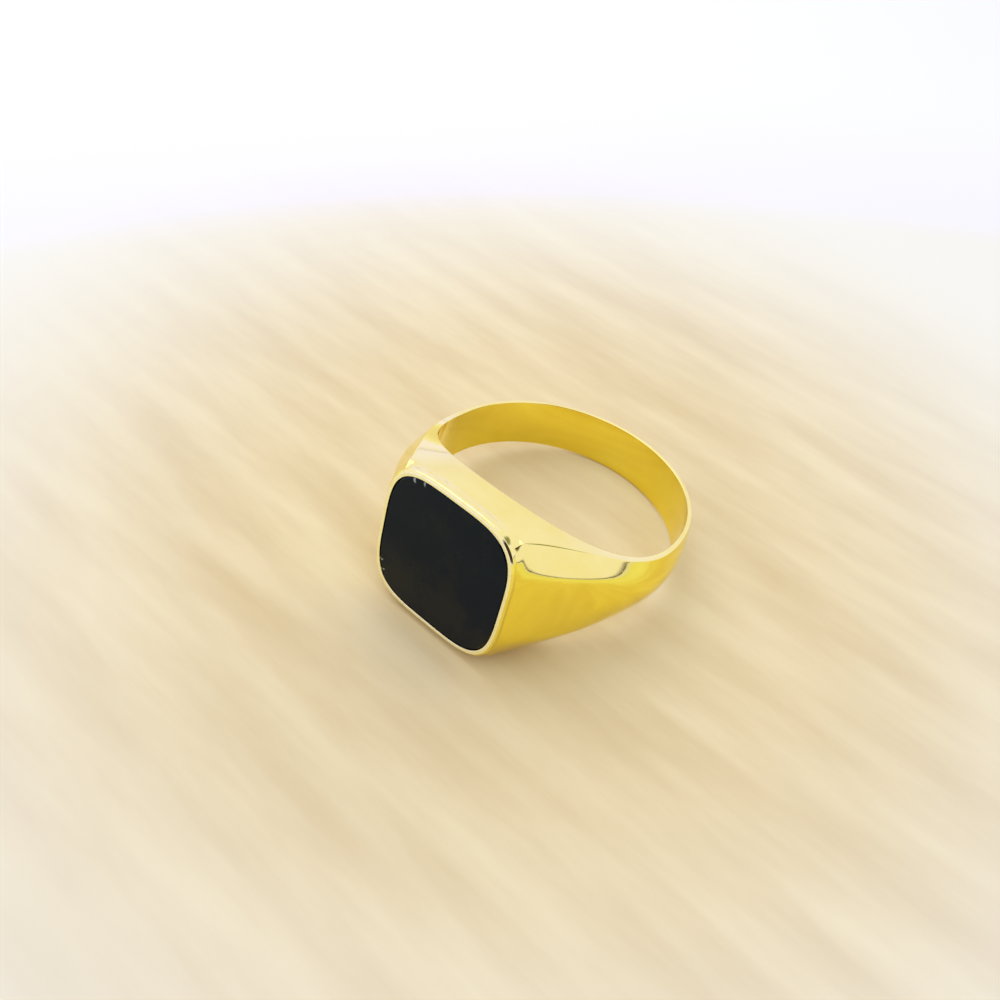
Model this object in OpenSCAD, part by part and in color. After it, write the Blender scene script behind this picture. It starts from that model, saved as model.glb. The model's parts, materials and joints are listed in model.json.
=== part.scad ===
// Signet ring with a flat black stone, lying on the lower edges of its head and of its shank.
// Every piece is drawn in the ring's own axes (+X out through the stone, +Z along the finger hole)
// and is then laid on the table by lying().

/* [Finger hole] */
// Diameter of the finger hole
bore_d = 19.5; // [15:0.1:23]

/* [Shank] */
// Width of the band at the back of the finger
shank_w = 4.0; // [2.5:0.1:6]
// Thickness of the band at the middle of its width
shank_t = 0.6; // [0.5:0.05:1.6]
// Thickness of the band at its two edges
shank_edge_t = 0.33; // [0.25:0.01:0.45]
// Angle from the head's middle to the joint between shoulder and shank
joint_angle = 108; // [100:1:120]

/* [Head] */
// Height of the stone's face above the finger hole's axis, less the hole's radius
face_rise = 3.22; // [2.9:0.02:5]
// How much wider the head is at the rim than where the finger hole comes out
head_flare = 0.1; // [0:0.02:0.4]
// Squareness of the cushion outline (2 is round, larger is squarer)
squareness = 3.8; // [2.6:0.1:6]
// Gold left between the hollow of the head and the finger hole
floor_t = 0.75; // [0.5:0.05:0.85]
// Width of the ledge that carries the stone's tray
ledge_w = 0.6; // [0.3:0.05:1]

/* [Shoulders] */
// Angle at which the shoulders leave the head, measured from the head's axis
shoulder_angle = 39; // [30:1:45]
// Angle at which the shoulders' upper edges leave the head
edge_angle = 26; // [18:1:32]
// Angle round the finger at which the shoulders' taper ends
taper_angle = 93; // [85:1:98]
// Roundness of the shoulders across their width (small is more pointed)
dome = 0.5; // [0.3:0.01:1.5]

/* [Rim] */
// Width of the flat gold stripe round the stone
rim_flat = 0.24; // [0.15:0.01:0.5]
// Size of the bevel outside the flat stripe
rim_bevel = 0.14; // [0.05:0.01:0.2]
// Height of the rim frame above the head
rim_h = 0.4; // [0.3:0.02:0.6]

/* [Stone] */
// Size of the stone across the finger
stone_w = 10.8; // [8:0.1:12]
// Size of the stone along the finger
stone_l = 10.86; // [8:0.1:12]
// Thickness of the stone
stone_t = 1.2; // [1:0.05:1.45]
// Bevel round the stone's polished face
stone_bevel = 0.12; // [0.05:0.01:0.2]
// Play between the stone or its tray and the gold
stone_gap = 0.02; // [0.01:0.005:0.05]
// Thickness of the cement under the stone
cement_t = 0.1; // [0.05:0.01:0.15]
// Thickness of the tray that carries the stone
tray_t = 0.35; // [0.25:0.05:0.4]

/* [Hidden] */

bore_r = bore_d / 2;
shank_r = bore_r + shank_t;
edge_r = bore_r + shank_edge_t;
back_half = shank_w / 2;

// levels along the head's axis, from the stone's face down
face_x = bore_r + face_rise;
deck_x = face_x - rim_h;
cement_x = face_x - stone_t;
tray_x = cement_x - cement_t;
ledge_x = tray_x - tray_t;

// cushion half sizes, [across the finger, along the finger]
stone_half = [stone_w / 2, stone_l / 2];
pocket_half = grown(stone_half, stone_gap);
rim_half = grown(pocket_half, rim_flat);
head_half = grown(rim_half, rim_bevel);
hollow_half = grown(pocket_half, -ledge_w);
mouth_half = head_half[1] - head_flare;   // half width of the head at the finger hole

// the ring leans until the mouth of the hole under the head and the shank's back edge touch the table
lean = atan((mouth_half - back_half) / (bore_r + edge_r));
table_z = bore_r * sin(lean) - mouth_half * cos(lean);
reach_front = face_x * cos(lean) + rim_half[1] * sin(lean);
reach_back = edge_r * cos(lean) + back_half * sin(lean);
middle_x = (reach_front - reach_back) / 2;

corner = pow(2, -1 / squareness);   // share of the half size at which a cushion's corner lies
wall_pull = 0.87 * bore_r;          // how far the shoulder's wall keeps its direction off the head
wall_back_pull = 0.57 * bore_r;     // and how far it runs along the band at the joint
edge_pull = 0.64 * bore_r;          // the same two for the shoulder's upper edge
edge_back_pull = 0.69 * bore_r;
crown_end = 0.035;                  // share of a shoulder over which the head's rounded wall fades
crown_depth = 0.7;                  // depth over which the head's crowned top turns flat
facet_level = 0.57;                 // height share at which the facet behind the head starts
facet_round = 0.08;                 // rounding of that start
facet_end = 0.56;                   // share of a shoulder over which the facet turns into a dome
groove = 0.01;                      // the shoulders stand this far clear of the finger hole
lining_t = 0.2;                     // a band under the shoulders is bored to the hole's own size
lining_half = back_half - 0.1;
lining_angle = joint_angle - 0.5;

front_steps = 5;      // sections from the middle of the head to its side
shoulder_steps = 28;  // sections from there to the joint
ring_steps = front_steps + shoulder_steps;
wall_steps = 7;       // steps from the middle of the wall to its edge
top_steps = 3;        // steps from the wall's edge to the finger hole
cushion_points = 56;
band_steps = 12;      // steps across the band
turn_fn = 96;

function grown(half, by) = [half[0] + by, half[1] + by];
function power(v, p) = sign(v) * pow(abs(v), p);
function polar(r, a) = [r * cos(a), r * sin(a)];
function ease(u) = let (c = min(max(u, 0), 1)) c * c * (3 - 2 * c);
function mix(a, b, u) = a * (1 - u) + b * u;
function middle(ring) = [for (k = [0 : 2]) let (v = [for (p = ring) p[k]]) (min(v) + max(v)) / 2];
function angle_of(p) = atan2(p[1], p[0]);
function bezier(a, b, c, d, t) =
    pow(1 - t, 3) * a + 3 * pow(1 - t, 2) * t * b + 3 * (1 - t) * t * t * c + pow(t, 3) * d;

// a cushion outline of the two half sizes
function cushion(half) = [
    for (i = [0 : cushion_points - 1])
        let (a = 360 * i / cushion_points)
        [half[0] * power(cos(a), 2 / squareness), half[1] * power(sin(a), 2 / squareness)]
];

// half width of the ring at an angle round the finger
function half_width(a) =
    back_half + (mouth_half - back_half) * (1 + cos(180 * min(max(a, 0), taper_angle) / taper_angle)) / 2;

// share of the wall's depth at a height share v: 0 at the middle, 1 at the edge
function head_drop(v) = (1 - pow(1 - pow(corner * abs(v), squareness), 1 / squareness)) / (1 - corner);
function dome_drop(v) = (sqrt(dome * dome + v * v) - dome) / (sqrt(dome * dome + 1) - dome);
function facet_bend(v) = norm([v - facet_level, facet_round]) + v - facet_level;
function facet_drop(v) = (facet_bend(abs(v)) - facet_bend(0)) / (facet_bend(1) - facet_bend(0));
function wall_drop(t, v) =
    mix(head_drop(v), mix(facet_drop(v), dome_drop(v), ease(t / facet_end)), ease(t / crown_end));

// a rail of the shoulder, seen along the finger hole: from the head's side, at an angle to its axis,
// round to the shank at a radius, where it runs along the band
function rail(y, a, pull, r, back_pull, t) =
    bezier([deck_x, y],
           [deck_x, y] + pull * polar(1, 180 - a),
           polar(r, joint_angle) - back_pull * polar(1, joint_angle + 90),
           polar(r, joint_angle), t);
function wall_rail(t) =
    rail(head_half[0], shoulder_angle, wall_pull, shank_r, wall_back_pull, t);
function edge_rail(t) =
    t < 0 ? [deck_x, head_half[0] * corner * (1 + t)]
          : rail(head_half[0] * corner, edge_angle, edge_pull, edge_r, edge_back_pull, t);

// height of the ring's top face over a point: crowned at the head's deck, flat further in
function top_z(p) =
    let (share = min(p[1] / head_half[0], corner),
         crowned = head_half[1] * pow(1 - pow(share, squareness), 1 / squareness))
    mix(crowned, half_width(angle_of(p)), ease((deck_x - p[0]) / crown_depth));

// section k, counted from the middle of the head: up its inside, out over the wall and back
function section(k) =
    let (t = k < front_steps ? k / front_steps - 1 : (k - front_steps) / shoulder_steps,
         edge = edge_rail(t),
         wall = t < 0 ? edge : wall_rail(t),
         inner = polar(bore_r + groove, joint_angle * k / ring_steps),
         top = [for (i = [1 : top_steps])
                let (p = mix(edge, inner, i / top_steps)) [p[0], p[1], top_z(p)]])
    concat(
        [for (i = [top_steps - 1 : -1 : 0]) [top[i][0], top[i][1], -top[i][2]]],
        [for (i = [-wall_steps : wall_steps])
            let (v = i / wall_steps, p = mix(wall, edge, wall_drop(t, v)))
            [p[0], p[1], v * top_z(edge)]],
        top
    );
function mirrored(ring) = [for (p = ring) [p[0], -p[1], p[2]]];

// joins sections of equal point counts into one closed solid, each end a fan round its middle
module loft(rings) {
    n = len(rings[0]);
    last = len(rings) - 1;
    first_hub = len(rings) * n;
    last_hub = first_hub + 1;
    polyhedron(
        points = concat(
            [for (ring = rings) for (p = ring) p],
            [middle(rings[0]), middle(rings[last])]
        ),
        faces = [
            for (i = [0 : n - 1])
                let (j = (i + 1) % n) each concat(
                    [[first_hub, j, i], [last_hub, last * n + i, last * n + j]],
                    [for (k = [0 : last - 1]) each [
                        [k * n + i, (k + 1) * n + j, (k + 1) * n + i],
                        [k * n + i, k * n + j, (k + 1) * n + j]
                    ]]
                )
        ],
        convexity = 6
    );
}

// a cushion prism along the head's axis
module block(half, from_x, to_x) {
    translate([from_x, 0, 0])
        rotate([90, 0, 90])
            linear_extrude(to_x - from_x) polygon(cushion(half));
}

// a cushion prism whose outer end has a bevel
module bevelled_block(half, from_x, to_x, bevel) {
    sliver = 0.01;
    hull() {
        block(half, from_x, to_x - bevel);
        block(grown(half, -bevel), to_x - sliver, to_x);
    }
}

module lying() {
    translate([-middle_x, 0, -table_z]) rotate([0, -lean, 0]) children();
}

// the head's block with both shoulders, as one solid from joint to joint
module shoulders() {
    loft(concat(
        [for (k = [ring_steps : -1 : 1]) mirrored(section(k))],
        [for (k = [0 : ring_steps]) section(k)]
    ));
}

// an arc round the finger hole, of a profile in [radius, height]
module arc(half_angle, profile) {
    rotate([0, 0, -half_angle])
        rotate_extrude(angle = 2 * half_angle, $fn = turn_fn) polygon(profile);
}

module shank() {
    profile = concat(
        [[bore_r, back_half], [bore_r, -back_half]],
        [for (i = [0 : band_steps])
            let (v = 2 * i / band_steps - 1)
            [mix(shank_r, edge_r, dome_drop(v)), back_half * v]]
    );
    color("gold")
        lying()
            rotate([0, 0, 180]) arc(180 - joint_angle, profile);
}

module head() {
    lining = [
        [bore_r, -lining_half], [bore_r + lining_t, -lining_half],
        [bore_r + lining_t, lining_half], [bore_r, lining_half]
    ];
    color("gold")
        lying()
            union() {
                difference() {
                    shoulders();
                    block(pocket_half, ledge_x, face_x);
                    block(hollow_half, bore_r + floor_t, face_x);
                }
                arc(lining_angle, lining);
            }
}

module stone_tray() {
    color("goldenrod")
        lying() block(grown(pocket_half, -stone_gap), ledge_x, tray_x);
}

module cement_bed() {
    color("dimgray")
        lying() block(stone_half, tray_x, cement_x);
}

module onyx_tablet() {
    color([0.07, 0.08, 0.09])
        lying() bevelled_block(stone_half, cement_x, face_x, stone_bevel);
}

module bezel_rim() {
    color("gold")
        lying()
            difference() {
                bevelled_block(head_half, deck_x, face_x, rim_bevel);
                block(pocket_half, deck_x - 1, face_x + 1);
            }
}

shank();
head();
stone_tray();
cement_bed();
onyx_tablet();
bezel_rim();
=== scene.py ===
"""Signet ring in polished yellow gold with a flat black onyx, lying on its side on a pale floor.

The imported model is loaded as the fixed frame. Each visible piece is then modelled again in fine mesh, in the
ring's own axes and in millimetres: +X runs out through the stone, +Z along the finger hole, and the origin is
the middle of the hole. Every piece is laid on the table with one matrix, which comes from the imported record.
"""

import json
import logging
import math
from collections.abc import Callable, Iterable
from dataclasses import dataclass
from enum import Enum
from typing import ClassVar

import bmesh
import bpy
from mathutils import Matrix, Vector

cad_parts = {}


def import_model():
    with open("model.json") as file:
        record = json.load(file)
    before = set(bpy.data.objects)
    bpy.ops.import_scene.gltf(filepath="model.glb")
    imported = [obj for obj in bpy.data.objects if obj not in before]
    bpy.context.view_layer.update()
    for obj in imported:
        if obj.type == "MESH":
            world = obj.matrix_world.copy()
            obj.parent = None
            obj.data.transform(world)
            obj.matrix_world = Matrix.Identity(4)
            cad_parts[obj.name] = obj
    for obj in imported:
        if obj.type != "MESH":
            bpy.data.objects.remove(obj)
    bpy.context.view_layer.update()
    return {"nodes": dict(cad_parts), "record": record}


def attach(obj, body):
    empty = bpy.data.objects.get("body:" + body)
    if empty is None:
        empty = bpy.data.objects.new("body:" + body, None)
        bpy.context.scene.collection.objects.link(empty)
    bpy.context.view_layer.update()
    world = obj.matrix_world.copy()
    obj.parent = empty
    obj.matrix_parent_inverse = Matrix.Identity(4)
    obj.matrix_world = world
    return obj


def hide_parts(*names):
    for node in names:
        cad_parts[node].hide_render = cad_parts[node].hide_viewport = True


LOG = logging.getLogger("signet_ring")
MM = 0.001  # a millimetre, in metres
WELD = 0.0008  # points of two sheets closer than this are one, in millimetres
EDGE_STEP = 0.1  # step from its edge over which a surface's stretch is measured
UNDER, OVER, BLENDED = 6, 7, 2  # a mix node's sockets for colours, which share their names with others
BODY = "root"

Pair = tuple[float, float]
Triple = tuple[float, float, float]
Colour = tuple[float, float, float, float]
Socket = bpy.types.NodeSocket


class Slot(Enum):
    """The record's material slots that the modelled pieces take."""

    GOLD = "gold"
    ONYX = "onyx"


def mix(a: float, b: float, share: float) -> float:
    """Return the value a share of the way from a to b."""
    return a + (b - a) * share


def ease(share: float) -> float:
    """Return a smooth step from 0 to 1, held at both ends."""
    held = min(max(share, 0.0), 1.0)
    return held * held * (3 - 2 * held)


def polar(radius: float, degrees: float) -> Vector:
    """Return a point in the plane of the ring, at a radius and an angle round the finger hole."""
    turn = math.radians(degrees)
    return Vector((radius * math.cos(turn), radius * math.sin(turn), 0))


def towards(azimuth: float, elevation: float) -> Vector:
    """Return the direction at an azimuth round the ring and an elevation above the floor, in degrees."""
    rise = math.radians(elevation)
    return polar(math.cos(rise), azimuth) + Vector((0, 0, math.sin(rise)))


def stretch(near: Vector, edge: Vector) -> float:
    """Return a surface's length per unit, between its edge and the point one edge step from it."""
    return (near - edge).length / EDGE_STEP


def rounded(before: Vector, corner: Vector, after: Vector, share: float) -> Vector:
    """Return a point on the curve that rounds off a corner.

    Args:
        before: Where the curve leaves the first side.
        corner: The sharp corner.
        after: Where the curve joins the second side.
        share: How far along the curve, from 0 to 1.

    Returns:
        The point on the curve.
    """
    return before * (1 - share) ** 2 + corner * 2 * share * (1 - share) + after * share**2


@dataclass(frozen=True)
class Bend:
    """A rail of the shoulder, seen along the finger hole, from the head's side round to the joint.

    Attributes:
        start: Where it leaves the head, in millimetres.
        degrees: Its angle to the head's axis there.
        pull: How far it keeps that direction.
        radius: Its distance from the middle of the hole at the joint.
        back_pull: How far it runs along the band there.
        joint: The joint's angle round the hole.
    """

    start: Vector
    degrees: float
    pull: float
    radius: float
    back_pull: float
    joint: float

    def at(self, share: float) -> Vector:
        """Return a point of the rail.

        Args:
            share: How far along the rail, from 0 to 1.

        Returns:
            The point.
        """
        stop = polar(self.radius, self.joint)
        out = self.start + polar(self.pull, 180 - self.degrees)
        back = stop - polar(self.back_pull, self.joint + 90)
        rest = 1 - share
        return self.start * rest**3 + out * 3 * rest**2 * share + back * 3 * rest * share**2 + stop * share**3


@dataclass(frozen=True)
class RingForm:
    """The sizes of the ring, in millimetres and degrees, and the curves that they make.

    Attributes:
        bore_r: Radius of the finger hole.
        shank_t: Thickness of the shank at mid height.
        shank_edge_t: Its thickness at its edges.
        shank_w: Its width.
        joint: Angle round the hole, from the stone, at which shoulder and shank meet.
        face_rise: Height of the stone's face over the hole's edge.
        head_flare: How much narrower the head is at the hole than at its deck, on each side.
        squareness: Power of the cushion outline.
        shoulder_angle: Angle of the shoulder's wall to the head's axis where it leaves the head.
        wall_pull: How far the wall keeps that direction, as a share of the hole's radius.
        wall_back_pull: How far the wall follows the band at the joint, as a share of the same.
        edge_pull: How far the wall's edge keeps its direction, as a share of the same.
        edge_back_pull: How far the wall's edge follows the band at the joint, as a share of the same.
        edge_angle: Angle of the wall's edge to the head's axis where it leaves the head.
        taper_angle: Angle round the hole over which the ring tapers to the shank's width.
        dome: Roundness of the shank's outer face, where 0 would give a ridge.
        rim_flat: Width of the rim's flat stripe.
        rim_bevel: Width and height of the rim's bevel.
        rim_h: Height of the rim over the deck.
        stone_w: Size of the stone across the finger.
        stone_l: Size of the stone along the finger.
        stone_gap: Gap round the stone.
        front_share: Share of the sections that lie in the head's front.
        dome_share: Share of the shoulder over which the head's wall turns into the shoulder's.
        crown_depth: Depth behind the deck over which the top face flattens.
        facet_level: Where the facet starts, from 0 at mid height to 1 at the wall's edge.
        facet_round: Rounding of the facet's start, as a share of the same height.
        facet_end: Share of the shoulder over which the facet fades.
    """

    bore_r: float = 9.75
    shank_t: float = 0.6
    shank_edge_t: float = 0.33
    shank_w: float = 4.0
    joint: float = 108.0
    face_rise: float = 3.22
    head_flare: float = 0.1
    squareness: float = 3.8
    shoulder_angle: float = 39.0
    wall_pull: float = 0.87
    wall_back_pull: float = 0.57
    edge_pull: float = 0.64
    edge_back_pull: float = 0.69
    edge_angle: float = 26.0
    taper_angle: float = 93.0
    dome: float = 0.5
    rim_flat: float = 0.24
    rim_bevel: float = 0.14
    rim_h: float = 0.4
    stone_w: float = 10.8
    stone_l: float = 10.86
    stone_gap: float = 0.02
    front_share: float = 5 / 33
    dome_share: float = 0.035
    crown_depth: float = 0.7
    facet_level: float = 0.57
    facet_round: float = 0.08
    facet_end: float = 0.56

    @property
    def face_x(self) -> float:
        """Level of the stone's face."""
        return self.bore_r + self.face_rise

    @property
    def deck_x(self) -> float:
        """Level of the head's deck, on which the rim stands."""
        return self.face_x - self.rim_h

    @property
    def stone_half(self) -> Pair:
        """Half sizes of the stone, across and along the finger."""
        return self.stone_w / 2, self.stone_l / 2

    @property
    def pocket_half(self) -> Pair:
        """Half sizes of the stone's pocket."""
        return self.grown(self.stone_half, self.stone_gap)

    @property
    def head_half(self) -> Pair:
        """Half sizes of the head at its deck."""
        return self.grown(self.pocket_half, self.rim_flat + self.rim_bevel)

    @property
    def mouth_half(self) -> float:
        """Half width of the head at the finger hole."""
        return self.head_half[1] - self.head_flare

    @property
    def corner(self) -> float:
        """Share of its half size at which a cushion's corner lies."""
        return 2 ** (-1 / self.squareness)

    @staticmethod
    def grown(half: Pair, by: float) -> Pair:
        """Return half sizes with the same amount added to both."""
        return half[0] + by, half[1] + by

    def cushion(self, half: Pair, turn: float) -> Pair:
        """Return a point of a cushion outline.

        Args:
            half: The outline's half sizes.
            turn: How far round, from 0 to 1.

        Returns:
            Its place across and along the finger.
        """
        power = 2 / self.squareness
        c, s = math.cos(math.tau * turn), math.sin(math.tau * turn)
        return half[0] * math.copysign(abs(c) ** power, c), half[1] * math.copysign(abs(s) ** power, s)

    def half_width(self, degrees: float) -> float:
        """Return half the ring's width.

        Args:
            degrees: Angle round the hole, from the stone.

        Returns:
            Half the width there.
        """
        share = min(max(degrees, 0.0), self.taper_angle) / self.taper_angle
        back = self.shank_w / 2
        return back + (self.mouth_half - back) * (1 + math.cos(math.pi * share)) / 2

    def head_drop(self, v: float) -> float:
        """Return the wall's depth beside the head, from 0 at mid height to 1 at its edge."""
        bulge = (1 - (self.corner * abs(v)) ** self.squareness) ** (1 / self.squareness)
        return (1 - bulge) / (1 - self.corner)

    def dome_drop(self, v: float) -> float:
        """Return the wall's depth on the shank, from 0 at mid height to 1 at its edge."""
        return (math.hypot(self.dome, v) - self.dome) / (math.hypot(self.dome, 1) - self.dome)

    def facet_drop(self, v: float) -> float:
        """Return the wall's depth just behind the head, where a soft facet runs along its edge.

        Args:
            v: Place up the wall, from -1 at its lower edge to 1 at its upper edge.

        Returns:
            The depth, from 0 at mid height to 1 at the edge.
        """
        def turned(size: float) -> float:
            """Return an upright line that turns into a slope at the facet's level."""
            return math.hypot(size - self.facet_level, self.facet_round) + size - self.facet_level

        return (turned(abs(v)) - turned(0)) / (turned(1) - turned(0))

    def wall_drop(self, t: float, v: float) -> float:
        """Return the wall's depth a share of the way along the shoulder."""
        shoulder = mix(self.facet_drop(v), self.dome_drop(v), ease(t / self.facet_end))
        return mix(self.head_drop(v), shoulder, ease(t / self.dome_share))

    def bend(self, start: Vector, degrees: float, pull: float, thickness: float, back_pull: float) -> Bend:
        """Return a rail of the shoulder.

        Args:
            start: Where it leaves the head.
            degrees: Its angle to the head's axis there.
            pull: How far it keeps that direction, as a share of the hole's radius.
            thickness: The band's thickness where it ends.
            back_pull: How far it runs along the band there, as a share of the hole's radius.

        Returns:
            The rail.
        """
        radius = self.bore_r
        return Bend(start, degrees, pull * radius, radius + thickness, back_pull * radius, self.joint)

    def wall_rail(self, t: float) -> Vector:
        """Return the middle of the wall, a share of the way from the head to the joint."""
        start = Vector((self.deck_x, self.head_half[0], 0))
        return self.bend(start, self.shoulder_angle, self.wall_pull, self.shank_t, self.wall_back_pull).at(t)

    def edge_rail(self, t: float) -> Vector:
        """Return a point of the edge between the wall and the top face.

        Args:
            t: From -1 to 0 along the deck's edge, then to 1 along the shoulder to the joint.

        Returns:
            The point, seen along the finger hole.
        """
        reach = self.head_half[0] * self.corner
        if t < 0:
            return Vector((self.deck_x, reach * (1 + t), 0))
        start = Vector((self.deck_x, reach, 0))
        return self.bend(start, self.edge_angle, self.edge_pull, self.shank_edge_t, self.edge_back_pull).at(t)

    def raised(self, place: Vector) -> Vector:
        """Lift a place in the ring's plane to the ring's top face.

        Args:
            place: The place.

        Returns:
            The point above it.
        """
        share = min(place.y / self.head_half[0], self.corner)
        crowned = self.head_half[1] * (1 - share**self.squareness) ** (1 / self.squareness)
        flat = self.half_width(math.degrees(math.atan2(place.y, place.x)))
        flatness = ease((self.deck_x - place.x) / self.crown_depth)
        return Vector((place.x, place.y, mix(crowned, flat, flatness)))

    def along(self, k: float) -> float:
        """Return where a section meets the wall's edge.

        Args:
            k: The section, from 0 at the middle of the head to 1 at the joint.

        Returns:
            The place along the edge, from -1 at the middle of the head to 1 at the joint.
        """
        if k < self.front_share:
            return k / self.front_share - 1
        return (k - self.front_share) / (1 - self.front_share)

    def wall_point(self, t: float, v: float) -> Vector:
        """Return a point of the wall, with its edges still sharp.

        Args:
            t: How far along the shoulder, from 0 to 1.
            v: Place up the wall, from -1 at its lower edge to 1 at its upper edge.

        Returns:
            The point.
        """
        edge = self.edge_rail(t)
        place = self.wall_rail(t).lerp(edge, self.wall_drop(t, v))
        return Vector((place.x, place.y, v * self.raised(edge).z))

    def top_point(self, k: float, u: float) -> Vector:
        """Return a sharp-edged point of the top face, with u from 0 at the wall to 1 at the finger hole."""
        inner = polar(self.bore_r, self.joint * k)
        return self.raised(self.edge_rail(self.along(k)).lerp(inner, u))


@dataclass(frozen=True)
class Polish:
    """How far polishing has rounded the ring's edges, in millimetres.

    Attributes:
        crease: Rounding of the outer edge on the shank.
        ridge: Extra rounding where the edge leaves the head.
        ridge_end: Share of the shoulder over which that fades.
        ridge_rise: Share of the shoulder over which it comes in.
        hole: Rounding of the finger hole's edge.
    """

    crease: float = 0.07
    ridge: float = 0.25
    ridge_end: float = 0.34
    ridge_rise: float = 0.12
    hole: float = 0.06

    def at(self, t: float) -> float:
        """Return the rounding of the outer edge.

        Args:
            t: How far along the shoulder, where the head's front lies below 0.

        Returns:
            The rounding, in millimetres.
        """
        if t <= 0:
            return 0.0
        return (self.crease + self.ridge * (1 - ease(t / self.ridge_end))) * ease(t / self.ridge_rise)


@dataclass(frozen=True)
class Lie:
    """How the ring lies on the table, read from the record's finger hole.

    Attributes:
        place: Middle of the hole, in metres.
        axis: Direction of the hole.
    """

    place: Vector
    axis: Vector

    @classmethod
    def from_record(cls, record: dict) -> "Lie":
        """Return the lie of the finger hole.

        Args:
            record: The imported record.

        Returns:
            The place and axis of the hole.
        """
        hole = next(m for m in record["mounts"] if m["name"] == "finger_hole")
        return cls(Vector(hole["pos_m"]), Vector(hole["axis"]))

    @property
    def matrix(self) -> Matrix:
        """Matrix from the ring's own axes, in millimetres, to the table, in metres."""
        lean = math.atan2(self.axis.x, self.axis.z)
        return Matrix.Translation(self.place) @ Matrix.Rotation(lean, 4, "Y") @ Matrix.Scale(MM, 4)


class MeshBench:
    """Builds one closed mesh out of bent grids and hands it over as a finished piece."""

    def __init__(self, name: str, slot: Slot, stands_for: tuple[str, ...]) -> None:
        """Open an empty mesh.

        Args:
            name: The piece's name.
            slot: Its material slot, which is stored but not used.
            stands_for: The CAD nodes it stands for.
        """
        self.name = name
        self.slot = slot
        self.stands_for = stands_for
        self.bm = bmesh.new()

    def sheet(self, across: int, along: int, place: Callable[[float, float], Vector]) -> None:
        """Bend a grid into a surface.

        Args:
            across: Steps in the first direction.
            along: Steps in the second direction.
            place: Gives a point for two shares from 0 to 1.
        """
        grid = bmesh.ops.create_grid(self.bm, x_segments=across, y_segments=along, size=0.5)
        for vert in grid["verts"]:
            vert.co = place(vert.co.x + 0.5, vert.co.y + 0.5)

    def weld(self) -> None:
        """Join the sheets where they meet."""
        bmesh.ops.remove_doubles(self.bm, verts=self.bm.verts, dist=WELD)

    def open_edges(self) -> list[bmesh.types.BMEdge]:
        """Return the edges that border one face only."""
        return [e for e in self.bm.edges if len(e.link_faces) == 1]

    def close(self) -> list[bmesh.types.BMFace]:
        """Fill each open loop with one face and return those faces."""
        return bmesh.ops.holes_fill(self.bm, edges=self.open_edges(), sides=0)["faces"]

    def soften(self, offset: float, segments: int, sharper_than: float,
               chosen: Callable[[bmesh.types.BMEdge], bool]) -> None:
        """Bevel the chosen sharp edges.

        Args:
            offset: Width of the bevel, in millimetres.
            segments: Its steps.
            sharper_than: Least angle between the two faces, in degrees.
            chosen: Which edges to take.
        """
        least = math.radians(sharper_than)
        edges = [e for e in self.bm.edges if e.is_manifold and e.calc_face_angle(0) > least and chosen(e)]
        bmesh.ops.bevel(self.bm, geom=edges, affect="EDGES", offset=offset, segments=segments, profile=0.5,
                        material=-1)

    def mark(self, name: str, share: Callable[[Vector], float]) -> None:
        """Store a value on the mesh, for its finish to read.

        Args:
            name: The value's name.
            share: Gives the value at a point.
        """
        layer = self.bm.verts.layers.float.new(name)
        for vert in self.bm.verts:
            vert[layer] = share(vert.co)

    def finish(self, lie: Matrix, material: bpy.types.Material, smooth_below: float) -> bpy.types.Object:
        """Lay the piece on the table, dress it and hang it on the frame.

        Args:
            lie: Matrix from the ring's own axes to the table.
            material: Its finish.
            smooth_below: Edges flatter than this many degrees are shaded smooth.

        Returns:
            The finished object.
        """
        bmesh.ops.recalc_face_normals(self.bm, faces=self.bm.faces)
        loose = sum(1 for e in self.bm.edges if not e.is_manifold)
        bmesh.ops.transform(self.bm, matrix=lie, verts=self.bm.verts)
        mesh = bpy.data.meshes.new(self.name)
        self.bm.to_mesh(mesh)
        self.bm.free()
        mesh.polygons.foreach_set("use_smooth", [True] * len(mesh.polygons))
        mesh.set_sharp_from_angle(angle=math.radians(smooth_below))
        mesh.materials.append(material)
        piece = bpy.data.objects.new(self.name, mesh)
        bpy.context.scene.collection.objects.link(piece)
        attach(piece, BODY)
        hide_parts(*self.stands_for)
        LOG.info("%s: %d faces, %d open edges", self.name, len(mesh.polygons), loose)
        return piece


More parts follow.
